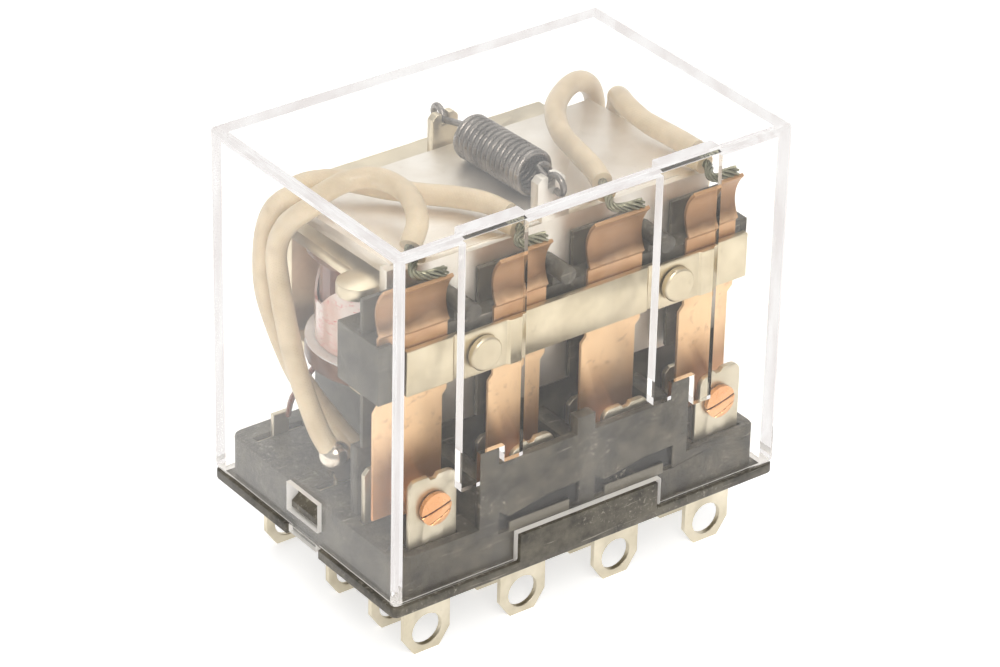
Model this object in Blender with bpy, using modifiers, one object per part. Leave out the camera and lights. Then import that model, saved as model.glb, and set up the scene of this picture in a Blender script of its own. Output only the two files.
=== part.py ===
"""Four-pole change-over plug-in power relay in a clear cover, in metres, +Z up.

The origin is the centre of the base flange's underside, the face that seats on a socket.
X runs along the row of poles, -Y is the contact side and +Y the coil side.
"""
import math

import bmesh
import bpy
from mathutils import Vector

MM = 0.001
GAP = 0.3 * MM          # clearance kept between neighbouring mouldings
FIT = 0.1 * MM          # clearance kept between clamped or touching metal parts

# Cover
COVER_X = 40.4 * MM
COVER_Y = 27.0 * MM
COVER_BOTTOM = 1.0 * MM
COVER_TOP = 34.2 * MM
COVER_WALL = 1.2 * MM
PAD_X = 10.0 * MM
PAD_WIDTH = 6.2 * MM
PAD_DEPTH = 1.0 * MM
PAD_BOTTOM = 9.6 * MM
WINDOW_HALF = 2.3 * MM
WINDOW_BOTTOM = 2.5 * MM
WINDOW_TOP = 5.3 * MM
KEY_HALF = 7.3 * MM
KEY_TOP = 3.5 * MM

# Base
FLANGE_TOP = COVER_BOTTOM - FIT
BLOCK_TOP = 4.9 * MM
TOWER_TOP = 12.2 * MM
WALL_TOP = 10.7 * MM
HORN_TOP = 12.3 * MM
HORN_WIDTH = 1.9 * MM
REAR_WALL_TOP = 11.4 * MM

# Poles and terminals
PITCH = 10.0 * MM
POLE_XS = [PITCH * (i - 1.5) for i in range(4)]
BARRIER_XS = [PITCH * (i - 1) for i in range(3)]
COIL_XS = [POLE_XS[0], POLE_XS[3]]
NC_Y = -10.71 * MM
NO_Y = -5.95 * MM
COM_Y = 0.4 * MM
COIL_TERMINAL_Y = 9.85 * MM
BLADE_WIDTH = 4.75 * MM
BLADE_THICK = 0.5 * MM
BLADE_TIP = -6.4 * MM
EYE_Z = -4.3 * MM
EYE_R = 1.5 * MM
CONTACT_Z = 8.2 * MM
CONTACT_R = 1.4 * MM

# Armature and hinge
HINGE_Y = 7.5 * MM
HINGE_Z = 27.05 * MM
STROKE = math.radians(2.2)
PLATE_HALF_X = 15.0 * MM
PLATE_THICK = 1.2 * MM
LEG_FRONT = -6.9 * MM
LEG_REAR = -5.9 * MM
LEG_HALF_X = 15.8 * MM
LEG_BOTTOM = 12.9 * MM
LEG_TOP = 28.7 * MM

# Contact carrier and springs
BAR_BOTTOM = 19.1 * MM
BAR_TOP = 23.3 * MM
BAR_FRONT = -10.3 * MM
BAR_BACK = -9.7 * MM
BAR_LEFT = -17.3 * MM
BAR_RIGHT = 18.0 * MM
SPRING_SHIFT = -0.65 * MM
SPRING_WIDTH = 5.7 * MM
SPRING_THICK = 0.3 * MM
SPRING_CLAMP_Y = -9.45 * MM
SPRING_LOW_Y = -8.85 * MM
CARRIER_FRONT = -9.2 * MM
CARRIER_REAR = -7.0 * MM
CARRIER_HALF_X = 18.1 * MM
CARRIER_END_X = 18.8 * MM

# Magnet
COIL_Y = 4.0 * MM
COIL_STRAIGHT = 8.5 * MM
FLANGE_LOW = 13.6 * MM
FLANGE_HIGH = 25.3 * MM
YOKE_HALF_X = 13.0 * MM

# Return spring
RETURN_R = 1.75 * MM
RETURN_WIRE_R = 0.27 * MM
RETURN_TURNS = 13
HOOK_FRONT = Vector((0, -6.4, 30.9)) * MM
HOOK_REAR = Vector((0, 8.4, 30.3)) * MM

ROUND = 16               # sides of the small turned pieces

FINISHES = {
    "clear_plastic": ((0.86, 0.85, 0.83), 0.05, 0.0),
    "black_plastic": ((0.035, 0.032, 0.030), 0.45, 0.0),
    "plated_steel": ((0.72, 0.66, 0.54), 0.30, 1.0),
    "copper": ((0.88, 0.47, 0.30), 0.28, 1.0),
    "silver": ((0.85, 0.83, 0.80), 0.25, 1.0),
    "bobbin_plastic": ((0.30, 0.16, 0.09), 0.40, 0.0),
    "coil_wire": ((0.45, 0.20, 0.10), 0.35, 0.6),
    "tape": ((0.85, 0.62, 0.58), 0.35, 0.0),
    "sleeve": ((0.80, 0.72, 0.52), 0.55, 0.0),
    "spring_steel": ((0.16, 0.15, 0.14), 0.35, 1.0),
}


def clear_scene():
    for obj in list(bpy.data.objects):
        bpy.data.objects.remove(obj, do_unlink=True)
    for group in list(bpy.data.collections):
        bpy.data.collections.remove(group)
    relay = bpy.data.collections.new("control_relay")
    bpy.context.scene.collection.children.link(relay)
    return relay


def make_finish(slot):
    colour, roughness, metallic = FINISHES[slot]
    material = bpy.data.materials.new(slot)
    material.use_nodes = True
    shader = material.node_tree.nodes["Principled BSDF"]
    shader.inputs["Base Color"].default_value = (*colour, 1.0)
    shader.inputs["Roughness"].default_value = roughness
    shader.inputs["Metallic"].default_value = metallic
    return material


RELAY = clear_scene()
MATERIALS = {slot: make_finish(slot) for slot in FINISHES}


def add_object(name, data, slot=None):
    obj = bpy.data.objects.new(name, data)
    RELAY.objects.link(obj)
    if slot:
        data.materials.append(MATERIALS[slot])
    return obj


def remove_object(obj):
    bpy.data.objects.remove(obj, do_unlink=True)


def to_mesh(obj):
    """Replace a curve or a modified mesh by its evaluated mesh, with the seams welded."""
    bpy.context.view_layer.update()
    depsgraph = bpy.context.evaluated_depsgraph_get()
    mesh = bpy.data.meshes.new_from_object(obj.evaluated_get(depsgraph))
    welded = bmesh.new()
    welded.from_mesh(mesh)
    bmesh.ops.remove_doubles(welded, verts=welded.verts, dist=1e-7)
    welded.to_mesh(mesh)
    welded.free()
    name = obj.name
    place = obj.matrix_world.copy()
    remove_object(obj)
    solid = add_object(name, mesh)
    solid.matrix_world = place
    return solid


def combine(target, tools, operation):
    """Join or cut a mesh with its tools, then remove the tools."""
    for tool in tools:
        modifier = target.modifiers.new(operation.lower(), "BOOLEAN")
        modifier.operation = operation
        modifier.object = tool
    result = to_mesh(target)
    for tool in tools:
        remove_object(tool)
    return result


def box(name, low, high):
    """A box between two corners."""
    mesh = bpy.data.meshes.new(name)
    cube = bmesh.new()
    bmesh.ops.create_cube(cube, size=1.0)
    size = [b - a for a, b in zip(low, high)]
    centre = [(a + b) / 2 for a, b in zip(low, high)]
    bmesh.ops.scale(cube, vec=size, verts=cube.verts)
    bmesh.ops.translate(cube, vec=centre, verts=cube.verts)
    cube.to_mesh(mesh)
    cube.free()
    return add_object(name, mesh)


def plate(name, outlines, normal, position, thickness, slot=None):
    """A flat piece: closed outlines in the plane across one axis, holes included."""
    curve = bpy.data.curves.new(name, "CURVE")
    curve.dimensions = "2D"
    curve.fill_mode = "BOTH"
    curve.extrude = thickness / 2
    for outline in outlines:
        spline = curve.splines.new("POLY")
        spline.points.add(len(outline) - 1)
        for point, (u, v) in zip(spline.points, outline):
            point.co = (u, v, 0, 1)
        spline.use_cyclic_u = True
    obj = add_object(name, curve, slot)
    if normal == "Y":
        obj.rotation_euler = (math.pi / 2, 0, 0)
        obj.location = (0, position, 0)
    elif normal == "X":
        obj.rotation_euler = (math.pi / 2, 0, math.pi / 2)
        obj.location = (position, 0, 0)
    else:
        obj.location = (0, 0, position)
    return obj


def turned(name, profile, start, slot=None, sides=ROUND):
    """A turned piece about a line along +Y through start; profile is (radius, y) downwards."""
    mesh = bpy.data.meshes.new(name)
    lathe = bmesh.new()
    points = [lathe.verts.new((radius, 0, -depth)) for radius, depth in profile]
    for first, second in zip(points, points[1:]):
        lathe.edges.new((first, second))
    lathe.to_mesh(mesh)
    lathe.free()
    obj = add_object(name, mesh, slot)
    obj.location = start
    obj.rotation_euler = (math.pi / 2, 0, 0)
    screw = obj.modifiers.new("turn", "SCREW")
    screw.axis = "Z"
    screw.steps = sides
    screw.render_steps = sides
    screw.use_merge_vertices = True
    screw.merge_threshold = 1e-6
    return obj


def wire(name, points, radius, slot, resolution=2):
    """A round wire along a line of points."""
    curve = bpy.data.curves.new(name, "CURVE")
    curve.dimensions = "3D"
    curve.bevel_depth = radius
    curve.bevel_resolution = resolution
    curve.use_fill_caps = True
    spline = curve.splines.new("POLY")
    spline.points.add(len(points) - 1)
    for point, place in zip(spline.points, points):
        point.co = (*place, 1)
    return add_object(name, curve, slot)


def circle(u, v, radius, count=ROUND):
    return [(u + radius * math.cos(2 * math.pi * i / count),
             v + radius * math.sin(2 * math.pi * i / count)) for i in range(count)]


def rectangle(u0, v0, u1, v1):
    return [(u0, v0), (u1, v0), (u1, v1), (u0, v1)]


def rounded_rectangle(u0, v0, u1, v1, radius, count=3):
    points = []
    corners = [(u1 - radius, v1 - radius, 0), (u0 + radius, v1 - radius, 1),
               (u0 + radius, v0 + radius, 2), (u1 - radius, v0 + radius, 3)]
    for cu, cv, quarter in corners:
        for i in range(count + 1):
            angle = math.pi / 2 * (quarter + i / count)
            points.append((cu + radius * math.cos(angle), cv + radius * math.sin(angle)))
    return points


def stadium(straight, radius, centre_v, count=12):
    """A long shape with round ends, lying along the first axis."""
    points = []
    for side in (0, 1):
        centre_u = straight if side == 0 else -straight
        for i in range(count + 1):
            angle = -math.pi / 2 + math.pi * (side + i / count)
            points.append((centre_u + radius * math.cos(angle),
                           centre_v + radius * math.sin(angle)))
    return points


def notched_post(half, low, hook_z):
    """A small post with an open notch in its top for a hook."""
    notch = RETURN_WIRE_R + FIT
    top = hook_z + 0.7 * MM
    cut = 0.4 * MM
    return [(-half, low), (half, low), (half, top - cut), (half - cut, top), (notch, top),
            (notch, hook_z - notch), (-notch, hook_z - notch), (-notch, top),
            (-half + cut, top), (-half, top - cut)]


def smooth_path(knots, per_span):
    """Points along a Catmull-Rom curve through the knots."""
    ends = [knots[0] * 2 - knots[1]] + knots + [knots[-1] * 2 - knots[-2]]
    points = []
    for a, b, c, d in zip(ends, ends[1:], ends[2:], ends[3:]):
        for i in range(per_span):
            t = i / per_span
            points.append(((b * 2) + (c - a) * t + (a * 2 - b * 5 + c * 4 - d) * t ** 2
                           + (b * 3 - a - c * 3 + d) * t ** 3) * 0.5)
    points.append(knots[-1])
    return points


def thick_line(points, thickness):
    """The outline of a bent strip seen edge-on."""
    half = thickness / 2
    left, right = [], []
    for i, point in enumerate(points):
        before = points[max(i - 1, 0)]
        after = points[min(i + 1, len(points) - 1)]
        along = (Vector(after) - Vector(before)).normalized()
        normal = Vector((-along.y, along.x)) * half
        left.append(tuple(Vector(point) + normal))
        right.append(tuple(Vector(point) - normal))
    return left + right[::-1]


def shade(obj, angle=35):
    obj.data.shade_smooth()
    obj.data.set_sharp_from_angle(angle=math.radians(angle))


# ------------------------------------------------------------------ terminals

def blade_points(half):
    """The lower edge of a blade, whose top outline is added by the caller."""
    chamfer = 1.1 * MM
    rise = 1.6 * MM
    return [(-half, BLADE_TIP + rise), (-half + chamfer, BLADE_TIP),
            (half - chamfer, BLADE_TIP), (half, BLADE_TIP + rise)]


def rounded_crown(half, top):
    """A top edge with round corners and a small notch in its middle."""
    corner = 0.85 * MM
    notch_half, notch_deep = 0.5 * MM, 0.35 * MM
    right = []
    for i in range(5):
        angle = math.pi / 2 * i / 4
        right.append((half - corner + corner * math.cos(angle),
                      top - corner + corner * math.sin(angle)))
    right += [(notch_half, top), (notch_half * 0.5, top - notch_deep)]
    return right + [(-u, v) for u, v in reversed(right)]


def stub(half, top):
    """A shoulder just inside the moulding and a narrow stub for the solder joint."""
    shoulder = BLOCK_TOP - 0.4 * MM
    stub_half = 0.8 * MM
    return [(half, shoulder), (stub_half, shoulder), (stub_half, top),
            (-stub_half, top), (-stub_half, shoulder), (-half, shoulder)]


def terminal(name, x, y, top, kind):
    half = BLADE_WIDTH / 2
    cut = 0.5 * MM
    if kind == "crown":
        upper = rounded_crown(half, top)
    elif kind == "stub":
        upper = stub(half, top)
    else:
        upper = [(half, top - cut), (half - cut, top), (-half + cut, top), (-half, top - cut)]
    outline = blade_points(half) + upper
    outlines = [[(u + x, v) for u, v in outline], circle(x, EYE_Z, EYE_R, 20)]
    if kind != "stub":
        outlines.append(circle(x, CONTACT_Z, 0.8 * MM, 12))
    return plate(name, outlines, "Y", y, BLADE_THICK, "plated_steel")


def make_terminals():
    for index, x in enumerate(POLE_XS, 1):
        terminal(f"terminal_nc_{index}", x, NC_Y, 11.2 * MM, "crown")
        terminal(f"terminal_no_{index}", x, NO_Y, 9.9 * MM, "plain")
        terminal(f"terminal_com_{index}", x, COM_Y, 7.6 * MM, "stub")
    for side, x in zip(("left", "right"), COIL_XS):
        terminal(f"terminal_coil_{side}", x, COIL_TERMINAL_Y, 6.8 * MM, "stub")


def rivet_profile(head_r, head, shank_r, shank, tail_r, tail):
    """Radius and depth, from the front tail disc to the rear contact head."""
    return [(0, 0), (tail_r, 0), (tail_r, tail), (shank_r, tail),
            (shank_r, tail + shank), (head_r, tail + shank),
            (head_r, tail + shank + head * 0.7), (head_r * 0.8, tail + shank + head),
            (0, tail + shank + head)]


def make_fixed_contacts():
    """NC rivets face back towards the springs and NO rivets face forward."""
    gap = FIT / 2
    tail = 0.35 * MM
    through = BLADE_THICK + 2 * gap
    for index, x in enumerate(POLE_XS, 1):
        nc = rivet_profile(CONTACT_R, 0.48 * MM, 0.6 * MM, through, CONTACT_R + FIT, tail)
        front = NC_Y - BLADE_THICK / 2 - gap - tail
        contact = turned(f"contact_nc_{index}", nc, (x, front, CONTACT_Z), "copper")
        shade(contact)
        head = 0.75 * MM
        no = rivet_profile(CONTACT_R, head, 0.6 * MM, through, CONTACT_R, tail)
        length = tail + through + head
        flipped = [(radius, length - depth) for radius, depth in reversed(no)]
        rear_head = NO_Y - BLADE_THICK / 2 - gap - head
        contact = turned(f"contact_no_{index}", flipped, (x, rear_head, CONTACT_Z), "silver")
        shade(contact)


# ---------------------------------------------------------------------- cover

def make_cover():
    half_x, half_y = COVER_X / 2, COVER_Y / 2
    inner_x, inner_y = half_x - COVER_WALL, half_y - COVER_WALL
    shell = box("cover", (-half_x, -half_y, COVER_BOTTOM), (half_x, half_y, COVER_TOP))
    bevel = shell.modifiers.new("edges", "BEVEL")
    bevel.width = 0.4 * MM
    bevel.segments = 2
    bevel.limit_method = "ANGLE"
    shell = to_mesh(shell)
    hollow = box("hollow", (-inner_x, -inner_y, -MM), (inner_x, inner_y, COVER_TOP - COVER_WALL))
    shell = combine(shell, [hollow], "DIFFERENCE")
    overlap = 0.2 * MM
    pads = []
    for x in (-PAD_X, PAD_X):
        outline = rectangle(x - PAD_WIDTH / 2, PAD_BOTTOM, x + PAD_WIDTH / 2,
                            COVER_TOP - COVER_WALL + overlap)
        depth = PAD_DEPTH + overlap
        pad = plate("pad", [outline], "Y", -inner_y - overlap + depth / 2, depth)
        pads.append(to_mesh(pad))
    tongue_half = 2.0 * MM
    for side in (-1, 1):
        outer, inner = side * half_x * 0.999, side * inner_x
        pads.append(box("tongue", (min(outer, inner), -tongue_half, 0.45 * MM),
                        (max(outer, inner), tongue_half, COVER_BOTTOM + overlap)))
    shell = combine(shell, pads, "UNION")
    cuts = []
    for x in (-PAD_X, PAD_X):
        notch = HORN_WIDTH / 2 + GAP
        cuts.append(box("notch", (x - notch, -inner_y, PAD_BOTTOM - MM),
                        (x + notch, 0, HORN_TOP + GAP)))
        inward = x - math.copysign(notch, x)
        edge = x - math.copysign(PAD_WIDTH / 2 + MM, x)
        cuts.append(box("notch", (min(inward, edge), -inner_y, PAD_BOTTOM - MM),
                        (max(inward, edge), 0, WALL_TOP + GAP)))
    for side in (-1, 1):
        cuts.append(box("window", (side * half_x - 2 * MM, -WINDOW_HALF, WINDOW_BOTTOM),
                        (side * half_x + 2 * MM, WINDOW_HALF, WINDOW_TOP)))
    cuts.append(box("keyway", (-KEY_HALF - GAP, -half_y - MM, 0),
                    (KEY_HALF + GAP, -inner_y + MM, KEY_TOP + GAP)))
    shell = combine(shell, cuts, "DIFFERENCE")
    shell.data.materials.clear()
    shell.data.materials.append(MATERIALS["clear_plastic"])


# ----------------------------------------------------------------------- base

def base_solids():
    """The added lumps of the base moulding, each reaching into its neighbour."""
    half_x = COVER_X / 2 - COVER_WALL - GAP
    half_y = COVER_Y / 2 - COVER_WALL - GAP
    lap = 0.4 * MM
    wall_front = -half_y
    wall_back = NC_Y - BLADE_THICK / 2 - GAP
    barrier_half = HORN_WIDTH / 2
    solids = [to_mesh(plate("block", [rounded_rectangle(-half_x, -half_y, half_x, half_y, MM)],
                            "Z", (BLOCK_TOP + FLANGE_TOP - lap) / 2,
                            BLOCK_TOP - FLANGE_TOP + lap))]
    solids.append(box("tower", (-12 * MM, 1.5 * MM, BLOCK_TOP - lap),
                      (12 * MM, 9.0 * MM, TOWER_TOP)))
    solids.append(box("rear_wall", (-17.2 * MM, -4.9 * MM, BLOCK_TOP - lap),
                      (17.2 * MM, -3.9 * MM, REAR_WALL_TOP)))
    wall_half = PITCH + barrier_half
    solids.append(box("front_wall", (-wall_half, wall_front, BLOCK_TOP - lap),
                      (wall_half, wall_back, WALL_TOP)))
    for x in BARRIER_XS:
        solids.append(box("horn", (x - barrier_half, wall_front, WALL_TOP - lap),
                          (x + barrier_half, wall_back + lap, HORN_TOP)))
        solids.append(box("barrier", (x - barrier_half + FIT, wall_back - lap, BLOCK_TOP - lap),
                          (x + barrier_half - FIT, -4.5 * MM, 9.4 * MM)))
    solids.append(box("key", (-KEY_HALF, -COVER_Y / 2, FLANGE_TOP - lap),
                      (KEY_HALF, -half_y + lap, KEY_TOP)))
    for side in (-1, 1):
        wedge = [(side * (half_x - lap), 2.9 * MM), (side * (COVER_X / 2 - GAP), 2.9 * MM),
                 (side * (COVER_X / 2 - GAP), 3.5 * MM), (side * (half_x - lap), 4.7 * MM)]
        if side > 0:
            wedge.reverse()
        solids.append(to_mesh(plate("catch", [wedge], "Y", 0, 2 * (WINDOW_HALF - GAP))))
    return solids


def base_cuts():
    """Terminal slots, the notches for the cover's tongues and the pockets of the front wall."""
    slack = 0.15 * MM
    half_w = BLADE_WIDTH / 2 + slack
    half_t = BLADE_THICK / 2 + slack
    cuts = []
    rows = [(x, y) for x in POLE_XS for y in (NC_Y, NO_Y, COM_Y)]
    rows += [(x, COIL_TERMINAL_Y) for x in COIL_XS]
    for x, y in rows:
        cuts.append(box("slot", (x - half_w, y - half_t, -MM), (x + half_w, y + half_t, 6 * MM)))
    tail_front = NC_Y - BLADE_THICK / 2 - 1.0 * MM
    for x in POLE_XS[1:3]:
        room = CONTACT_R + 2 * GAP
        cuts.append(box("rivet_room", (x - room, tail_front, CONTACT_Z - room),
                        (x + room, NC_Y, CONTACT_Z + room)))
    notch_half = 2.35 * MM
    for side in (-1, 1):
        outer, inner = side * COVER_X / 2 * 1.1, side * (COVER_X / 2 - 1.35 * MM)
        cuts.append(box("notch", (min(outer, inner), -notch_half, -MM),
                        (max(outer, inner), notch_half, 1.2 * MM)))
    pocket_front = -COVER_Y / 2 + COVER_WALL
    for left, right in ((-9.0, -0.6), (1.05, 9.45)):
        outline = [(left, 3.8), (left + 1.1, 3.8), (left + 1.1, 4.6), (right - 0.95, 4.6),
                   (right - 0.95, 3.8), (right, 3.8), (right, 6.0), (right - 3.3, 5.9),
                   (left + 1.1, 5.2), (left, 6.0)]
        outline = [(x * MM, z * MM) for x, z in outline]
        cuts.append(to_mesh(plate("pocket", [outline], "Y", pocket_front + 0.2 * MM, 0.9 * MM)))
    return cuts


def make_base():
    half_x, half_y = COVER_X / 2, COVER_Y / 2
    outline = rounded_rectangle(-half_x, -half_y, half_x, half_y, 0.6 * MM)
    flange = plate("base", [outline], "Z", FLANGE_TOP / 2, FLANGE_TOP)
    flange = combine(to_mesh(flange), base_solids(), "UNION")
    base = combine(flange, base_cuts(), "DIFFERENCE")
    base.data.materials.clear()
    base.data.materials.append(MATERIALS["black_plastic"])


# --------------------------------------------------------------------- magnet

def ring_plate(name, outer_r, inner_r, low, high, slot=None):
    outlines = [stadium(COIL_STRAIGHT, outer_r, COIL_Y)]
    if inner_r:
        outlines.append(stadium(COIL_STRAIGHT, inner_r, COIL_Y))
    return plate(name, outlines, "Z", (low + high) / 2, high - low, slot)


def make_bobbin():
    lap = 0.1 * MM
    low_top = FLANGE_LOW + 1.6 * MM
    high_bottom = FLANGE_HIGH - 1.1 * MM
    lower = ring_plate("bobbin", 6.6 * MM, 2.0 * MM, FLANGE_LOW, low_top)
    upper = ring_plate("upper", 6.6 * MM, 2.0 * MM, high_bottom, FLANGE_HIGH)
    tube = ring_plate("tube", 2.9 * MM, 2.0 * MM, low_top - lap, high_bottom + lap)
    bobbin = combine(to_mesh(lower), [to_mesh(tube), to_mesh(upper)], "UNION")
    bobbin.data.materials.clear()
    bobbin.data.materials.append(MATERIALS["bobbin_plastic"])
    ring_plate("coil_winding", 5.3 * MM, 3.0 * MM, low_top + FIT, high_bottom - FIT, "coil_wire")
    ring_plate("coil_tape", 5.7 * MM, 5.4 * MM, low_top + GAP, high_bottom - GAP, "tape")
    ring_plate("core", 1.8 * MM, 0, FLANGE_LOW - FIT, FLANGE_HIGH + FIT, "plated_steel")


def make_pole_shoe():
    ear_x, body_x = 18.2 * MM, 15.8 * MM
    ear_low, ear_high = -5.4 * MM, -1.9 * MM
    ear_mid = (ear_low + ear_high) / 2
    ear_r = (ear_high - ear_low) / 2
    right = []
    for i in range(7):
        angle = -math.pi / 2 + math.pi * i / 6
        right.append((ear_x - ear_r + ear_r * math.cos(angle), ear_mid + ear_r * math.sin(angle)))
    right += [(body_x, ear_high), (body_x, 7.2 * MM)]
    outline = right + [(-u, v) for u, v in reversed(right)]
    low, high = FLANGE_HIGH + 2 * FIT, 26.6 * MM
    plate("pole_shoe", [outline], "Z", (low + high) / 2, high - low, "plated_steel")


def make_yoke():
    """A steel strip: foot under the coil, rear leg, and a top lip that carries the hinge."""
    foot_low, foot_high = TOWER_TOP + FIT, FLANGE_LOW - 2 * FIT
    back, inside = 12.0 * MM, 10.9 * MM
    lip_low, lip_high = 25.6 * MM, 26.7 * MM
    side = [(-1.5 * MM, foot_low), (back, foot_low), (back, lip_high), (7.9 * MM, lip_high),
            (7.9 * MM, lip_low), (inside, lip_low), (inside, foot_high), (-1.5 * MM, foot_high)]
    strip = to_mesh(plate("yoke", [side], "X", 0, 2 * YOKE_HALF_X))
    post_half, post_t = 1.3 * MM, 0.8 * MM
    outline = notched_post(post_half, lip_high - 0.5 * MM, HOOK_REAR.z)
    post = to_mesh(plate("post", [outline], "Y", HOOK_REAR.y, post_t))
    yoke = combine(strip, [post], "UNION")
    yoke.data.materials.clear()
    yoke.data.materials.append(MATERIALS["plated_steel"])


# ------------------------------------------------------------ moving assembly

def make_armature():
    """Top plate raised at the front, with a vertical leg that carries the contact card."""
    rise = math.tan(STROKE)
    lap = 0.3 * MM

    def underside(y):
        return HINGE_Z + (HINGE_Y - y) * rise

    side = [(HINGE_Y, HINGE_Z), (HINGE_Y, HINGE_Z + PLATE_THICK),
            (LEG_REAR - lap, underside(LEG_REAR - lap) + PLATE_THICK),
            (LEG_REAR - lap, underside(LEG_REAR - lap))]
    top = to_mesh(plate("armature", [side], "X", 0, 2 * PLATE_HALF_X))
    leg_outline = rectangle(-LEG_HALF_X, LEG_BOTTOM, LEG_HALF_X, LEG_TOP)
    middle = (LEG_FRONT + LEG_REAR) / 2
    depth = LEG_REAR - LEG_FRONT
    leg = to_mesh(plate("leg", [leg_outline], "Y", middle, depth))
    outline = notched_post(1.4 * MM, LEG_TOP - MM, HOOK_FRONT.z)
    tab = to_mesh(plate("tab", [outline], "Y", middle, depth * 0.98))
    armature = combine(top, [leg, tab], "UNION")
    armature.data.materials.clear()
    armature.data.materials.append(MATERIALS["plated_steel"])


def make_carrier():
    """A beam across all poles with a finger behind each spring, end blocks and melted pegs."""
    beam_low, beam_high = 18.6 * MM, 24.0 * MM
    finger_half = SPRING_WIDTH / 2
    peg_r = 0.8 * MM
    middle = (CARRIER_FRONT + CARRIER_REAR) / 2
    depth = CARRIER_REAR - CARRIER_FRONT
    beam = to_mesh(plate("contact_carrier",
                         [rectangle(-CARRIER_HALF_X, beam_low, CARRIER_HALF_X, beam_high)],
                         "Y", middle, depth))
    added, holes = [], []
    for pole_x in POLE_XS:
        x = pole_x + SPRING_SHIFT
        added.append(box("finger", (x - finger_half, CARRIER_REAR - 0.5 * MM, 13.2 * MM),
                         (x + finger_half, CARRIER_REAR - FIT / 2, 27.2 * MM)))
    for side in (-1, 1):
        inner, outer = side * (LEG_HALF_X + GAP), side * CARRIER_END_X
        added.append(box("end_block", (min(inner, outer), CARRIER_FRONT + FIT / 2, beam_low),
                         (max(inner, outer), -4.3 * MM, beam_high)))
    spring_left = POLE_XS[0] + SPRING_SHIFT - finger_half
    added.append(box("cheek", (-CARRIER_END_X, -10.1 * MM, beam_low),
                     (spring_left - FIT, CARRIER_FRONT + 2 * FIT, beam_high)))
    added.append(box("clasp", (-CARRIER_END_X, -10.1 * MM, beam_low),
                     (BAR_LEFT - FIT, SPRING_CLAMP_Y - SPRING_THICK / 2 - FIT / 2, beam_high)))
    for x in BARRIER_XS:
        peg_length = 3.2 * MM
        peg_x = x - 1.15 * MM
        peg_z = 25.3 * MM
        peg = turned("peg", [(0, 0), (peg_r, 0), (peg_r, peg_length), (0, peg_length)],
                     (peg_x, -10.4 * MM, peg_z))
        added.append(to_mesh(peg))
        added.append(box("post", (peg_x - peg_r * 0.8, CARRIER_FRONT + FIT, beam_high - GAP),
                         (peg_x + peg_r * 0.8, CARRIER_REAR - GAP, peg_z)))
    carrier = combine(beam, added, "UNION")
    for x in (-PITCH, PITCH):
        bore = turned("bore", [(0, 0), (MM, 0), (MM, 2.3 * MM), (0, 2.3 * MM)],
                      (x, CARRIER_FRONT - 0.5 * MM, (BAR_BOTTOM + BAR_TOP) / 2))
        holes.append(to_mesh(bore))
    carrier = combine(carrier, holes, "DIFFERENCE")
    carrier.data.materials.clear()
    carrier.data.materials.append(MATERIALS["black_plastic"])


def make_clamp_bar():
    """A flat bar with a shallow step around each rivet."""
    step, recess = 0.2 * MM, 2.7 * MM
    front = [(BAR_LEFT, BAR_FRONT)]
    for x in (-PITCH, PITCH):
        front += [(x - recess, BAR_FRONT), (x - recess + step, BAR_FRONT + step),
                  (x + recess - step, BAR_FRONT + step), (x + recess, BAR_FRONT)]
    front += [(BAR_RIGHT, BAR_FRONT), (BAR_RIGHT, BAR_BACK), (BAR_LEFT, BAR_BACK)]
    middle = (BAR_BOTTOM + BAR_TOP) / 2
    bar = to_mesh(plate("clamp_bar", [front], "Z", middle, BAR_TOP - BAR_BOTTOM))
    bores = []
    for x in (-PITCH, PITCH):
        bore = turned("bore", [(0, 0), (MM, 0), (MM, 2 * MM), (0, 2 * MM)],
                      (x, BAR_FRONT - 0.5 * MM, middle))
        bores.append(to_mesh(bore))
    bar = combine(bar, bores, "DIFFERENCE")
    bar.data.materials.clear()
    bar.data.materials.append(MATERIALS["plated_steel"])
    head, head_r, shank_r, shank = 0.65 * MM, 1.55 * MM, 0.85 * MM, 2.0 * MM
    profile = [(0, 0), (head_r * 0.9, 0), (head_r, head * 0.25), (head_r, head),
               (shank_r, head), (shank_r, head + shank), (0, head + shank)]
    for side, x in (("left", -PITCH), ("right", PITCH)):
        front = BAR_FRONT + step - FIT - head
        rivet = turned(f"bar_rivet_{side}", profile, (x, front, middle), "plated_steel", 20)
        shade(rivet)


def spring_line():
    """Side view of one movable spring, from its lower end to its flared solder tab."""
    low = [(SPRING_LOW_Y, 6.9 * MM), (SPRING_LOW_Y, 17.2 * MM)]
    clamp = [(SPRING_CLAMP_Y, 18.2 * MM), (SPRING_CLAMP_Y, 24.5 * MM)]
    lip_y, lip_z = SPRING_CLAMP_Y - 0.3 * MM, 24.85 * MM
    height, bow, lean = 4.3 * MM, 0.8 * MM, 0.55 * MM
    tab = []
    for i in range(11):
        t = i / 10
        tab.append((lip_y + bow * math.sin(math.pi * t) ** 0.8 - lean * t, lip_z + height * t))
    return low + clamp + tab


def make_springs():
    outline = thick_line(spring_line(), SPRING_THICK)
    for index, x in enumerate(POLE_XS, 1):
        leaf = to_mesh(plate(f"moving_spring_{index}", [outline], "X", x + SPRING_SHIFT,
                             SPRING_WIDTH))
        hole = turned("hole", [(0, 0), (0.75 * MM, 0), (0.75 * MM, 2 * MM), (0, 2 * MM)],
                      (x, SPRING_LOW_Y - MM, CONTACT_Z), sides=12)
        leaf = combine(leaf, [to_mesh(hole)], "DIFFERENCE")
        leaf.data.materials.clear()
        leaf.data.materials.append(MATERIALS["copper"])
        gap = FIT / 2
        front_head, rear_head, shank = 0.72 * MM, 0.78 * MM, SPRING_THICK + 2 * gap
        profile = rivet_profile(CONTACT_R, rear_head, 0.55 * MM, shank, CONTACT_R, front_head)
        front = SPRING_LOW_Y - SPRING_THICK / 2 - gap - front_head
        contact = turned(f"contact_moving_{index}", profile, (x, front, CONTACT_Z), "silver")
        shade(contact)


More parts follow.
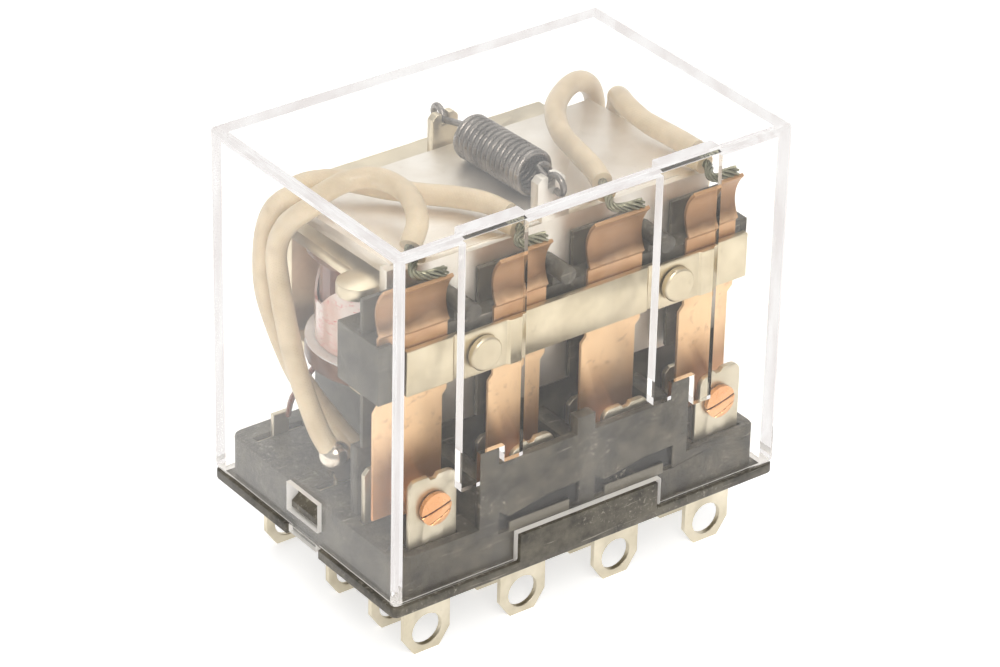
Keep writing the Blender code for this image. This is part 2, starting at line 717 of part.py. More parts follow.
# ------------------------------------------------------------- spring and leads

def make_return_spring():
    """An extension spring: close coils between two hooks that sit in the posts' notches."""
    axis = HOOK_REAR - HOOK_FRONT
    along = axis.normalized()
    across = Vector((1, 0, 0))
    upward = across.cross(along)
    start = HOOK_FRONT + along * 1.5 * MM
    body = 9.6 * MM
    per_turn = 10
    reach = 0.9 * MM
    bend = 0.3 * MM
    points = [HOOK_FRONT - along * reach - upward * reach,
              HOOK_FRONT - along * reach - upward * bend,
              HOOK_FRONT - along * (reach - bend), HOOK_FRONT]
    steps = RETURN_TURNS * per_turn
    for i in range(steps + 1):
        angle = 2 * math.pi * i / per_turn
        grow = min(1.0, (i + 4) / 8, (steps - i + 4) / 8)
        spoke = across * math.sin(angle) + upward * math.cos(angle)
        points.append(start + along * (body * i / steps) + spoke * (RETURN_R * grow))
    points += [HOOK_REAR, HOOK_REAR + along * (reach - bend),
               HOOK_REAR + along * reach - upward * bend,
               HOOK_REAR + along * reach - upward * reach]
    wire("return_spring", points, RETURN_WIRE_R, "spring_steel", 1)


LEAD_ROUTES = {
    1: [(-16.6, -0.6, 8.4), (-17.1, 1.2, 10.6), (-17.2, 4.3, 15.4), (-17.2, 6.4, 21.3),
        (-17.2, 6.9, 24.6), (-17.1, 5.6, 27.6), (-16.3, 3.4, 30.0), (-14.4, 1.9, 31.6),
        (-12.2, 0.6, 31.8), (-11.6, -2.6, 31.7), (-12.9, -6.0, 31.2), (-14.6, -7.4, 29.9)],
    2: [(-5.0, -0.9, 6.7), (-8.2, -1.5, 6.3), (-11.2, -1.4, 6.4), (-12.9, -0.1, 6.8),
        (-14.1, 2.6, 8.8), (-15.7, 5.6, 12.4), (-16.5, 7.4, 15.8), (-17.4, 8.6, 19.6),
        (-17.6, 8.8, 23.2), (-17.4, 8.5, 26.2), (-16.8, 7.6, 28.4), (-15.2, 6.3, 29.8),
        (-12.9, 4.5, 30.1), (-10.5, 1.8, 29.8), (-8.5, -0.7, 29.8), (-6.8, -2.7, 29.9),
        (-5.5, -5.2, 30.1), (-4.8, -7.5, 29.9)],
    3: [(5.0, -0.9, 6.7), (8.2, -1.5, 6.3), (11.2, -1.4, 6.4), (12.9, -0.1, 6.8),
        (14.1, 2.6, 8.8), (15.7, 5.6, 12.4), (16.5, 7.6, 16.4), (17.4, 9.2, 21.4),
        (17.3, 9.4, 25.2), (16.4, 8.9, 28.1), (14.6, 8.2, 29.8), (12.2, 7.1, 30.3),
        (9.3, 4.9, 30.2), (7.2, 1.4, 30.0), (6.1, -2.4, 30.1), (5.3, -5.6, 30.2),
        (4.7, -7.6, 30.0)],
    4: [(16.6, -0.6, 8.4), (17.1, 1.2, 10.6), (17.2, 4.3, 15.4), (17.2, 6.4, 21.3),
        (17.2, 6.6, 25.2), (16.7, 5.7, 28.2), (15.5, 4.1, 29.8), (14.5, 1.6, 30.2),
        (14.3, -1.2, 30.0), (14.6, -4.4, 29.9), (14.9, -7.4, 29.8)],
}


def make_leads():
    """Sleeved stranded leads from the common terminals to the moving springs."""
    radius = 0.95 * MM
    for index, route in LEAD_ROUTES.items():
        knots = [Vector(place) * MM for place in route]
        wire(f"flex_lead_{index}", smooth_path(knots, 3), radius, "sleeve", 2)


def make_coil_leads():
    for side, sign in (("left", -1), ("right", 1)):
        knots = [Vector((sign * 13.7, 6.0, 13.2)) * MM, Vector((sign * 14.0, 7.4, 11.0)) * MM,
                 Vector((sign * 14.4, 8.8, 8.6)) * MM, Vector((sign * 14.6, 9.2, 6.6)) * MM]
        wire(f"coil_lead_{side}", smooth_path(knots, 3), 0.25 * MM, "coil_wire", 1)


make_base()
make_cover()
make_terminals()
make_fixed_contacts()
make_bobbin()
make_pole_shoe()
make_yoke()
make_armature()
make_carrier()
make_clamp_bar()
make_springs()
make_return_spring()
make_leads()
make_coil_leads()
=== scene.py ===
"""Looks of a four-pole plug-in relay in a clear cover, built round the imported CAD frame.

Lengths are metres. X runs along the poles, -Y is the contact side, +Z is up.
"""
import math
import random

import bmesh
import bpy
from mathutils import Matrix, Vector


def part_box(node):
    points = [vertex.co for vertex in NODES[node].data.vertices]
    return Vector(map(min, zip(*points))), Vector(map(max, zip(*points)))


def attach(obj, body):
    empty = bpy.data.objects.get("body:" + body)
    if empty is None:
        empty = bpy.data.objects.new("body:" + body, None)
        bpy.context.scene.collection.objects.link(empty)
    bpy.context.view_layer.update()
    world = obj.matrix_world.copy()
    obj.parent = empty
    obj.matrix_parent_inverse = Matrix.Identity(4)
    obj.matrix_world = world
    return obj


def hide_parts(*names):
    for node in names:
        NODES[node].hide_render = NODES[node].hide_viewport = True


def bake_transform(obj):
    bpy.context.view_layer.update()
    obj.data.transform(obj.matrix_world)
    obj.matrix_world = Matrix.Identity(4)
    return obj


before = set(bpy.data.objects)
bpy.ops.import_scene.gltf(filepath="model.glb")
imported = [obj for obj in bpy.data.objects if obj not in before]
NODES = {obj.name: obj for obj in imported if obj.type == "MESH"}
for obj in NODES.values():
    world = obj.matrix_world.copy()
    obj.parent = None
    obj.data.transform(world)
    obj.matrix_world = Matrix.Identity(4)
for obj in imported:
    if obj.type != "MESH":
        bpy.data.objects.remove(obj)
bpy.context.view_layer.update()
MM = 0.001
POLES = (1, 2, 3, 4)
PITCH = 10.0 * MM
POLE_X = {i: PITCH * (i - 2.5) for i in POLES}

FLOOR_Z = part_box("terminal_nc_1")[0].z


# ------------------------------------------------------------------- camera

CAMERA_AZIMUTH = math.radians(-37.133)
CAMERA_ELEVATION = math.radians(30.376)
CAMERA_ROLL = math.radians(1.33)
CAMERA_DISTANCE = 364.025 * MM
CAMERA_LENS = 154.62
CAMERA_SENSOR = 36.0
CAMERA_TARGET = Vector((0, 0, 18.0)) * MM
CAMERA_SLIDE = Vector((0.118, -3.356)) * MM


def make_camera():
    a, e, r = CAMERA_AZIMUTH, CAMERA_ELEVATION, CAMERA_ROLL
    back = Vector((math.sin(a) * math.cos(e), -math.cos(a) * math.cos(e), math.sin(e)))
    level = Vector((math.cos(a), math.sin(a), 0))
    over = back.cross(level)
    right = level * math.cos(r) + over * math.sin(r)
    up = over * math.cos(r) - level * math.sin(r)
    data = bpy.data.cameras.new("camera")
    data.sensor_width = CAMERA_SENSOR
    data.lens = CAMERA_LENS
    data.clip_start, data.clip_end = 0.01, 10
    camera = bpy.data.objects.new("camera", data)
    bpy.context.scene.collection.objects.link(camera)
    place = CAMERA_TARGET + back * CAMERA_DISTANCE + right * CAMERA_SLIDE.x + up * CAMERA_SLIDE.y
    turn = Matrix((right, up, back)).transposed()
    camera.matrix_world = Matrix.Translation(place) @ turn.to_4x4()
    bpy.context.scene.camera = camera


# ------------------------------------------------------------ mesh and nodes

def link(obj):
    bpy.context.scene.collection.objects.link(obj)
    return obj


def finish_mesh(name, mesh, material, smooth_angle=None):
    obj = link(bpy.data.objects.new(name, mesh))
    mesh.materials.append(material)
    if smooth_angle is not None:
        mesh.shade_smooth()
        mesh.set_sharp_from_angle(angle=math.radians(smooth_angle))
    return obj


def smooth_path(knots, per_span):
    """Points along a Catmull-Rom curve through the knots."""
    ends = [knots[0] * 2 - knots[1]] + list(knots) + [knots[-1] * 2 - knots[-2]]
    points = []
    for a, b, c, d in zip(ends, ends[1:], ends[2:], ends[3:]):
        for i in range(per_span):
            t = i / per_span
            points.append(((b * 2) + (c - a) * t + (a * 2 - b * 5 + c * 4 - d) * t ** 2
                           + (b * 3 - a - c * 3 + d) * t ** 3) * 0.5)
    points.append(knots[-1])
    return points


def tangents(points):
    last = len(points) - 1
    return [(points[min(i + 1, last)] - points[max(i - 1, 0)]).normalized()
            for i in range(len(points))]


def frames(points):
    """A pair of directions across the line at each point, turning as little as possible."""
    along = tangents(points)
    side = along[0].orthogonal().normalized()
    pairs = []
    for direction in along:
        side = (side - direction * side.dot(direction)).normalized()
        pairs.append((side, direction.cross(side)))
    return pairs


def tube(name, points, radii, material, sides=16, round_ends=0):
    """A closed tube with UVs: u round it, v the length in millimetres."""
    if not isinstance(radii, (list, tuple)):
        radii = [radii] * len(points)
    points, radii = list(points), list(radii)
    pairs = frames(points)
    along = tangents(points)
    rings = []
    if round_ends:
        for i in range(round_ends):
            swing = math.pi / 2 * (i + 0.35) / round_ends
            rings.append((points[0] - along[0] * radii[0] * math.cos(swing) * 0.8,
                          radii[0] * math.sin(swing), pairs[0]))
    rings += list(zip(points, radii, pairs))
    if round_ends:
        for i in range(round_ends):
            swing = math.pi / 2 * (round_ends - i - 0.65) / round_ends
            rings.append((points[-1] + along[-1] * radii[-1] * math.cos(swing) * 0.8,
                          radii[-1] * math.sin(swing), pairs[-1]))
    build = bmesh.new()
    uv = build.loops.layers.uv.new("UVMap")
    grid, lengths, run = [], [], 0.0
    for i, (centre, radius, (side, over)) in enumerate(rings):
        if i:
            run += (centre - rings[i - 1][0]).length / MM
        lengths.append(run)
        grid.append([build.verts.new(centre + (side * math.cos(2 * math.pi * k / sides)
                                               + over * math.sin(2 * math.pi * k / sides)) * radius)
                     for k in range(sides)])
    for i in range(len(grid) - 1):
        for k in range(sides):
            n = (k + 1) % sides
            face = build.faces.new((grid[i][k], grid[i][n], grid[i + 1][n], grid[i + 1][k]))
            corners = ((k, i), (k + 1, i), (k + 1, i + 1), (k, i + 1))
            for loop, (across, row) in zip(face.loops, corners):
                loop[uv].uv = (across / sides, lengths[row])
    build.faces.new(grid[0][::-1])
    build.faces.new(grid[-1])
    mesh = bpy.data.meshes.new(name)
    build.to_mesh(mesh)
    build.free()
    return finish_mesh(name, mesh, material, smooth_angle=50)


class Shader:
    """A small helper to write node trees."""

    def __init__(self, name):
        self.material = bpy.data.materials.new(name)
        self.material.use_nodes = True
        self.tree = self.material.node_tree
        self.bsdf = self.tree.nodes["Principled BSDF"]
        self.output = self.tree.nodes["Material Output"]

    def node(self, kind, values=None, **settings):
        made = self.tree.nodes.new(kind)
        for key, value in settings.items():
            setattr(made, key, value)
        for key, value in (values or {}).items():
            self.put(made.inputs[key], value)
        return made

    def put(self, socket, value):
        if isinstance(value, bpy.types.NodeSocket):
            self.tree.links.new(value, socket)
        else:
            socket.default_value = value

    def set(self, **values):
        for key, value in values.items():
            self.put(self.bsdf.inputs[key.replace("_", " ")], value)

    def space(self, scale, source="Object"):
        """Object places in millimetres, or plain UVs, times the scale."""
        where = self.node("ShaderNodeTexCoord").outputs[source]
        unit = 1000.0 if source == "Object" else 1.0
        scale = scale if isinstance(scale, (list, tuple)) else (scale,) * 3
        return self.node("ShaderNodeMapping", {"Vector": where,
                                               "Scale": [s * unit for s in scale]}).outputs[0]

    def noise(self, scale, detail=3.0, roughness=0.55, distortion=0.0):
        return self.node("ShaderNodeTexNoise",
                         {"Vector": self.space(scale), "Scale": 1.0, "Detail": detail,
                          "Roughness": roughness, "Distortion": distortion}).outputs["Fac"]

    def wave(self, scale, direction, distortion, detail, source="Object"):
        return self.node("ShaderNodeTexWave",
                         {"Vector": self.space(scale, source), "Scale": 1.0,
                          "Distortion": distortion, "Detail": detail},
                         wave_type="BANDS", bands_direction=direction).outputs["Fac"]

    def axes(self, value):
        return self.node("ShaderNodeSeparateXYZ", {0: value}).outputs

    def normal_axes(self):
        return self.axes(self.node("ShaderNodeNewGeometry").outputs["Normal"])

    def own_box_axes(self):
        """Places in the object's own box, from 0 to 1 along each axis."""
        return self.axes(self.node("ShaderNodeTexCoord").outputs["Generated"])

    def ramp(self, value, stops):
        made = self.node("ShaderNodeValToRGB", {"Fac": value})
        elements = made.color_ramp.elements
        while len(elements) < len(stops):
            elements.new(0.5)
        for element, (place, colour) in zip(elements, stops):
            element.position = place
            element.color = (*colour, 1.0)
        return made.outputs["Color"]

    def grey(self, value, stops):
        return self.ramp(value, [(place, (v, v, v)) for place, v in stops])

    def math(self, operation, a, b=0.5):
        return self.node("ShaderNodeMath", {0: a, 1: b}, operation=operation).outputs[0]

    def mix(self, factor, a, b):
        made = self.node("ShaderNodeMix", data_type="RGBA")
        self.put(made.inputs[0], factor)
        self.put(made.inputs[6], a if isinstance(a, bpy.types.NodeSocket) else (*a, 1.0))
        self.put(made.inputs[7], b if isinstance(b, bpy.types.NodeSocket) else (*b, 1.0))
        return made.outputs[2]

    def bump(self, height, distance, strength=1.0):
        made = self.node("ShaderNodeBump", {"Height": height, "Distance": distance,
                                            "Strength": strength})
        self.put(self.bsdf.inputs["Normal"], made.outputs[0])


# ---------------------------------------------------------------- materials

def within(s, value, limits):
    """One where a value lies between two limits, zero elsewhere."""
    low, high = limits
    return s.math("MULTIPLY", s.math("GREATER_THAN", value, low),
                  s.math("LESS_THAN", value, high))


def place_axes(s):
    """Object coordinates in millimetres, axis by axis."""
    return s.axes(s.space(1.0))


OPENINGS_BELOW_Z = 6
WINDOW_HALF_Y, WINDOW_BEYOND_X = 4, 18.9
MOUTH_HALF_X, MOUTH_BEYOND_Y = 9, 12.2


def painted_edge_light(s, facing):
    """Painted light: a mask of the cover's bottom rim and the edges of its openings, which take a
    pale film standing in for light caught in the cut edges.
    """
    x, y, z = (s.math("ABSOLUTE", axis) for axis in place_axes(s))
    turn_x, turn_y, turn_z = (s.math("ABSOLUTE", axis) for axis in facing)
    level = s.math("GREATER_THAN", turn_z, 0.5)
    window = s.math("MULTIPLY", s.math("GREATER_THAN", turn_y, 0.5),
                    s.math("LESS_THAN", y, WINDOW_HALF_Y))
    window = s.math("MULTIPLY", window, s.math("GREATER_THAN", x, WINDOW_BEYOND_X))
    mouth = s.math("MULTIPLY", s.math("GREATER_THAN", turn_x, 0.5),
                   s.math("LESS_THAN", x, MOUTH_HALF_X))
    mouth = s.math("MULTIPLY", mouth, s.math("GREATER_THAN", y, MOUTH_BEYOND_Y))
    edges = s.math("MAXIMUM", level, s.math("MAXIMUM", window, mouth))
    low = s.math("LESS_THAN", z, OPENINGS_BELOW_Z)
    return s.math("MULTIPLY", edges, s.math("MULTIPLY", low, 0.8))


def clear_plastic():
    """Clear walls with a light film of smears and specks; the cut edges take a pale film, painted
    light.

    Shadows and diffuse light pass straight through. After two reflections a ray ends on a pale
    emission, a painted glow, so that the edges stay bright where light is caught inside the walls.
    """
    s = Shader("clear_plastic")
    ripple = s.noise(0.12, 2.0)
    dust = s.grey(s.noise(1.6, 6.0, 0.75), [(0.60, 0.0), (0.80, 1.0)])
    s.set(Base_Color=(0.985, 0.975, 0.96, 1.0), IOR=1.585, Transmission_Weight=1.0,
          Roughness=s.grey(dust, [(0.0, 0.015), (1.0, 0.12)]))
    facing = s.normal_axes()
    # Painted reflection: the specular tint follows the facing, strongest on the roof, a little
    # stronger on the end walls than on the side walls.
    roof = s.math("MULTIPLY", s.math("ABSOLUTE", facing["Z"]), 0.34)
    end_wall = s.math("MULTIPLY", s.math("ABSOLUTE", facing["X"]), 0.06)
    s.set(Specular_Tint=s.math("ADD", s.math("ADD", roof, end_wall), 0.20))
    s.bump(ripple, 0.02 * MM, 0.5)
    clear = s.node("ShaderNodeBsdfTransparent", {"Color": (0.97, 0.965, 0.955, 1.0)})
    path = s.node("ShaderNodeLightPath")
    passing = s.math("MAXIMUM", path.outputs["Is Shadow Ray"], path.outputs["Is Diffuse Ray"])
    trapped = s.math("GREATER_THAN", path.outputs["Glossy Depth"], 1.5)
    smears = s.grey(s.noise((0.25, 0.25, 0.06), 5.0, 0.6), [(0.48, 0.0), (0.78, 0.035)])
    specks = s.grey(s.noise(3.2, 3.0, 0.6), [(0.72, 0.0), (0.76, 0.22)])
    film = s.node("ShaderNodeBsdfDiffuse", {"Color": (0.95, 0.92, 0.88, 1.0)})
    # Real smears and specks, and painted light on the cut edges, take the pale film.
    dust_and_edge_light = s.math("MAXIMUM", s.math("MAXIMUM", smears, specks), painted_edge_light(s, facing))
    filmed = s.node("ShaderNodeMixShader", {0: dust_and_edge_light,
                                            1: s.bsdf.outputs[0], 2: film.outputs[0]})
    # Painted glow: rays trapped after two reflections end on this pale emission, so the edges look
    # lit.
    bands = s.ramp(s.noise((0.35, 0.35, 0.12), 2.0, 0.5),
                   [(0.36, (0.84, 0.80, 0.785)), (0.60, (0.96, 0.945, 0.935))])
    painted_edge_glow = s.node("ShaderNodeEmission", {"Color": bands, "Strength": 1.0})
    edges = s.node("ShaderNodeMixShader", {0: trapped, 1: filmed.outputs[0],
                                           2: painted_edge_glow.outputs[0]})
    mixed = s.node("ShaderNodeMixShader", {0: passing, 1: edges.outputs[0],
                                           2: clear.outputs[0]})
    s.put(s.output.inputs["Surface"], mixed.outputs[0])
    return s.material


POCKETS_X, POCKETS_Y, POCKETS_Z = (-9.1, 9.6), (-11.9, -11.5), (3.9, 6.1)
LEFT_LEDGE_X, RIGHT_LEDGE_X = (-7.85, -1.6), (2.2, 8.45)
LEDGES_Y, LEDGES_Z = (-12.2, -11.95), (3.6, 4.62)


def painted_pocket_shade(s):
    """Painted shade: a mask of the shallow pockets low on the front wall of the base, which are
    darkened.
    """
    x, y, z = place_axes(s)
    return s.math("MULTIPLY", s.math("MULTIPLY", within(s, y, POCKETS_Y),
                                     within(s, z, POCKETS_Z)), within(s, x, POCKETS_X))


def painted_ledge_light(s):
    """Painted light: the two ledges under the pockets are painted paler."""
    x, y, z = place_axes(s)
    ledges = s.math("ADD", within(s, x, LEFT_LEDGE_X), within(s, x, RIGHT_LEDGE_X))
    return s.math("MULTIPLY", s.math("MULTIPLY", within(s, y, LEDGES_Y),
                                     within(s, z, LEDGES_Z)), ledges)


def black_plastic():
    s = Shader("black_plastic")
    mottle = s.noise(0.45, 6.0, 0.65)
    grain = s.noise(6.0, 3.0, 0.6)
    fine = s.grey(s.noise(2.6, 8.0, 0.72), [(0.55, 0.0), (0.66, 0.75)])
    patches = s.grey(s.noise(0.18, 3.0), [(0.50, 0.08), (0.64, 1.0)])
    scratches = s.grey(s.noise((0.25, 3.0, 5.0), 2.0, 0.5, distortion=0.3),
                       [(0.68, 0.0), (0.71, 0.5)])
    settled = s.math("MULTIPLY", s.math("GREATER_THAN", s.normal_axes()["Z"], 0.6), 0.8)
    patches = s.math("MAXIMUM", patches, settled)
    dust = s.math("MAXIMUM", s.math("MULTIPLY", fine, patches), scratches)
    dark = s.ramp(mottle, [(0.36, (0.040, 0.034, 0.024)), (0.64, (0.125, 0.109, 0.079))])
    # painted shade darkens the pockets
    dark = s.mix(painted_pocket_shade(s), dark, (0.010, 0.008, 0.006))
    # painted highlight lightens the ledges under the pockets
    dark = s.mix(painted_ledge_light(s), dark, (0.21, 0.19, 0.15))
    s.set(Base_Color=s.mix(dust, dark, (0.40, 0.36, 0.29)),
          Roughness=s.grey(grain, [(0.25, 0.30), (0.75, 0.56)]), Specular_IOR_Level=0.5)
    s.bump(grain, 0.003 * MM, 0.5)
    return s.material


def metal(name, dark, light, roughness, grain=3.0, bump=0.003, stain=None, cuts=None):
    """Worn metal between two colours, with optional stains and painted shade along straight cuts.
    """
    s = Shader(name)
    fine = s.noise(grain, 4.0, 0.6)
    cloud = s.noise(0.30, 3.0)
    colour = s.mix(s.grey(cloud, [(0.35, 0.0), (0.7, 1.0)]), dark, light)
    colour = s.mix(s.grey(fine, [(0.3, 0.0), (0.75, 0.35)]), colour, light)
    if stain:
        spots = s.grey(s.noise(1.3, 6.0, 0.65), [(0.62, 0.0), (0.74, 0.55)])
        colour = s.mix(spots, colour, stain)
    if cuts:
        # painted shade: the straight cuts are darkened
        colour = s.mix(cut_lines(s, cuts), colour, (0.10, 0.035, 0.015))
    low, high = roughness
    s.set(Base_Color=colour, Metallic=1.0, Roughness=s.grey(fine, [(0.25, low), (0.75, high)]))
    s.bump(fine, bump * MM, 0.5)
    return s.material


def cut_lines(s, cuts):
    """A mask of straight cuts over a round face, darkened as painted shade, from its own box: a
    tilt, an offset and a half width.
    """
    place = s.own_box_axes()
    u, v = (s.math("MULTIPLY", s.math("SUBTRACT", place[axis], 0.5), 2.0) for axis in "XZ")
    total = None
    for tilt, offset, half in cuts:
        across = s.math("MULTIPLY", u, -math.sin(tilt))
        away = s.math("ADD", across, s.math("MULTIPLY", v, math.cos(tilt)))
        away = s.math("ABSOLUTE", s.math("SUBTRACT", away, offset))
        line = s.math("LESS_THAN", away, half)
        total = line if total is None else s.math("MAXIMUM", total, line)
    return total


def strip_copper():
    """Copper springs, satin: a pale painted highlight in the middle, painted shade bands and a
    painted highlight on the ledge across the tab, and darker brown low down near the foot.
    """
    s = Shader("strip_copper")
    brushed = s.noise((0.9, 0.9, 0.25), 3.0, 0.5)
    cloud = s.noise(0.25, 3.0)
    uneven = s.math("MULTIPLY", s.math("SUBTRACT", cloud, 0.5), 0.12)
    rise = s.math("ADD", s.own_box_axes()["Z"], uneven)
    # painted light and shade along the height: pale painted highlight in the middle, dark painted
    # shade bands across the tab
    base = s.ramp(rise, [(0.00, (0.80, 0.40, 0.18)), (0.08, (0.62, 0.29, 0.12)),
                         (0.20, (0.52, 0.28, 0.13)), (0.36, (0.97, 0.66, 0.38)),
                         (0.66, (0.98, 0.69, 0.41)), (0.76, (0.56, 0.32, 0.17)),
                         (0.80, (0.66, 0.42, 0.24)), (0.84, (0.22, 0.12, 0.06)),
                         (0.90, (0.36, 0.20, 0.10)), (1.00, (0.56, 0.33, 0.17))])
    spots = s.grey(s.noise(1.2, 6.0, 0.65), [(0.56, 0.0), (0.72, 0.55)])
    colour = s.mix(spots, base, (0.42, 0.21, 0.10))
    s.set(Base_Color=colour, Metallic=0.65,
          Roughness=s.grey(brushed, [(0.25, 0.32), (0.75, 0.46)]))
    s.bump(brushed, 0.002 * MM, 0.5)
    return s.material


def sleeve():
    s = Shader("sleeve")
    one_way, other_way = (s.wave((side * 8.0, 2.2, 1.0), "DIAGONAL", 0.6, 1.0, "UV")
                          for side in (1, -1))
    braid = s.math("MULTIPLY", one_way, other_way)
    soil = s.noise(0.4, 4.0)
    base = s.ramp(soil, [(0.3, (0.64, 0.50, 0.31)), (0.7, (0.86, 0.71, 0.49))])
    s.set(Base_Color=s.mix(s.grey(braid, [(0.0, 0.25), (0.6, 0.0)]), base, (0.62, 0.50, 0.33)),
          Roughness=s.grey(soil, [(0.3, 0.36), (0.7, 0.55)]), Subsurface_Weight=0.3,
          Subsurface_Radius=(0.6 * MM, 0.45 * MM, 0.3 * MM), Coat_Weight=0.35,
          Coat_Roughness=0.12)
    s.bump(braid, 0.03 * MM, 0.5)
    return s.material


def tape():
    s = Shader("tape")
    wrinkle = s.noise((0.5, 0.5, 1.4), 5.0, 0.6, distortion=0.6)
    cloud = s.noise(0.35, 3.0)
    marks = s.noise((0.9, 0.9, 2.6), 2.0, 0.5, distortion=1.2)
    base = s.ramp(cloud, [(0.35, (0.92, 0.64, 0.56)), (0.65, (0.95, 0.82, 0.75))])
    red = s.grey(marks, [(0.585, 0.0), (0.60, 1.0), (0.62, 1.0), (0.64, 0.0)])
    s.set(Base_Color=s.mix(red, base, (0.84, 0.30, 0.27)),
          Roughness=s.grey(wrinkle, [(0.3, 0.08), (0.7, 0.25)]), Coat_Weight=0.6,
          Coat_Roughness=0.06)
    s.bump(wrinkle, 0.10 * MM, 0.7)
    return s.material


def coil_wire():
    s = Shader("coil_wire")
    turns = s.wave((0.05, 0.05, 2.2), "Z", 0.4, 2.0)
    cloud = s.noise(0.6, 3.0)
    base = s.ramp(cloud, [(0.3, (0.16, 0.045, 0.02)), (0.7, (0.34, 0.11, 0.05))])
    s.set(Base_Color=s.mix(s.grey(turns, [(0.0, 0.5), (0.5, 0.0)]), base, (0.05, 0.02, 0.012)),
          Metallic=0.55, Roughness=s.grey(cloud, [(0.3, 0.28), (0.7, 0.42)]), Coat_Weight=0.5,
          Coat_Roughness=0.12)
    s.bump(turns, 0.05 * MM, 0.8)
    return s.material


def bobbin_plastic():
    s = Shader("bobbin_plastic")
    cloud = s.noise(0.7, 4.0)
    s.set(Base_Color=s.ramp(cloud, [(0.3, (0.13, 0.055, 0.028)), (0.7, (0.27, 0.13, 0.07))]),
          Roughness=s.grey(cloud, [(0.3, 0.28), (0.7, 0.5)]), Coat_Weight=0.2,
          Coat_Roughness=0.15)
    s.bump(s.noise(5.0), 0.01 * MM, 0.5)
    return s.material


def washer():
    # Painted reflection: a pale ring stands for the reflection on the top of the bobbin's lower
    # flange.
    s = Shader("washer")
    cloud = s.noise(0.8, 3.0)
    s.set(Base_Color=s.ramp(cloud, [(0.3, (0.93, 0.90, 0.86)), (0.7, (0.98, 0.97, 0.95))]),
          Roughness=s.grey(cloud, [(0.3, 0.25), (0.7, 0.4)]), Coat_Weight=0.5,
          Coat_Roughness=0.1, Subsurface_Weight=0.3,
          Subsurface_Radius=(MM, MM, MM))
    s.bump(s.noise(4.0), 0.01 * MM, 0.5)
    return s.material


RIVET_CUTS = ((math.radians(14), 0.0, 0.055), (math.radians(26), -0.62, 0.03))
NODE_FINISH = {"armature": "armature_steel", "terminal": "blade_steel",
               "moving_spring": "strip_copper"}


def make_materials():
    return {
        "washer": washer(),
        "strand": metal("strand", (0.12, 0.13, 0.09), (0.38, 0.36, 0.26), (0.3, 0.5)),
        "solder": metal("solder", (0.36, 0.26, 0.17), (0.84, 0.78, 0.68), (0.08, 0.30),
                        grain=1.2, bump=0.08, stain=(0.24, 0.13, 0.07)),
        "clear_plastic": clear_plastic(),
        "black_plastic": black_plastic(),
        "plated_steel": metal("plated_steel", (0.58, 0.50, 0.35), (0.78, 0.69, 0.51),
                              (0.30, 0.44), bump=0.002, stain=(0.46, 0.38, 0.26)),
        "armature_steel": metal("armature_steel", (0.80, 0.74, 0.64), (0.92, 0.88, 0.81),
                                (0.38, 0.52), bump=0.002, stain=(0.70, 0.62, 0.50)),
        "blade_steel": metal("blade_steel", (0.58, 0.52, 0.39), (0.78, 0.71, 0.57),
                             (0.34, 0.50), bump=0.0015, stain=(0.52, 0.45, 0.33)),
        "copper": metal("copper", (0.72, 0.37, 0.17), (0.90, 0.54, 0.28), (0.20, 0.36),
                        bump=0.002, stain=(0.42, 0.18, 0.09)),
        "strip_copper": strip_copper(),
        "rivet_copper": metal("rivet_copper", (0.74, 0.36, 0.16), (0.90, 0.52, 0.28),
                              (0.22, 0.38), bump=0.002, cuts=RIVET_CUTS),
        "silver": metal("silver", (0.70, 0.67, 0.62), (0.92, 0.90, 0.86), (0.16, 0.32),
                        grain=2.0),
        "bobbin_plastic": bobbin_plastic(),
        "coil_wire": coil_wire(),
        "tape": tape(),
        "sleeve": sleeve(),
        "spring_steel": metal("spring_steel", (0.05, 0.045, 0.04), (0.36, 0.33, 0.30),
                              (0.22, 0.40)),
    }


# -------------------------------------------------------------------- pieces

LEAD_ROUTES = {
    1: [(-16.6, -0.6, 8.4), (-17.1, 1.2, 10.6), (-17.2, 4.3, 15.4), (-17.2, 6.4, 21.3),
        (-17.2, 6.9, 24.6), (-17.1, 5.6, 27.6), (-16.3, 3.4, 30.0), (-14.4, 1.9, 31.6),
        (-12.2, 0.6, 31.8), (-11.6, -2.6, 31.7), (-12.9, -6.0, 31.2), (-14.6, -7.4, 29.9)],
    2: [(-5.0, -0.9, 6.7), (-8.2, -1.5, 6.3), (-11.2, -1.4, 6.4), (-12.9, -0.1, 6.8),
        (-14.1, 2.6, 8.8), (-15.7, 5.6, 12.4), (-16.5, 7.4, 15.8), (-17.0, 8.8, 19.6),
        (-17.0, 9.2, 23.2), (-16.8, 8.9, 26.2), (-16.4, 7.8, 28.4), (-15.2, 6.3, 29.8),
        (-12.9, 4.5, 30.1), (-10.5, 1.8, 29.8), (-8.5, -0.7, 29.8), (-6.8, -2.7, 29.9),
        (-5.5, -5.2, 30.1), (-4.8, -7.5, 29.9)],
    3: [(5.0, -0.9, 6.7), (8.2, -1.5, 6.3), (11.2, -1.4, 6.4), (12.9, -0.1, 6.8),
        (14.1, 2.6, 8.8), (15.7, 5.6, 12.4), (16.5, 7.6, 16.4), (17.4, 9.2, 21.4),
        (17.3, 9.4, 25.2), (16.4, 8.9, 28.1), (14.6, 8.2, 29.8), (12.2, 7.1, 30.3),
        (9.3, 4.9, 30.2), (7.2, 1.4, 30.0), (6.1, -2.4, 30.1), (5.3, -5.6, 30.2),
        (4.7, -7.6, 30.0)],
    4: [(16.6, -0.6, 8.4), (17.1, 1.2, 10.6), (17.2, 4.3, 15.4), (17.2, 6.4, 21.3),
        (17.2, 6.6, 25.2), (16.7, 5.7, 28.2), (15.5, 4.1, 29.8), (14.5, 1.6, 30.2),
        (14.3, -1.2, 30.0), (14.6, -4.4, 29.9), (14.9, -7.4, 29.8)],
}
LEAD_RADIUS = 0.95 * MM
POINTS_PER_SPAN = 8


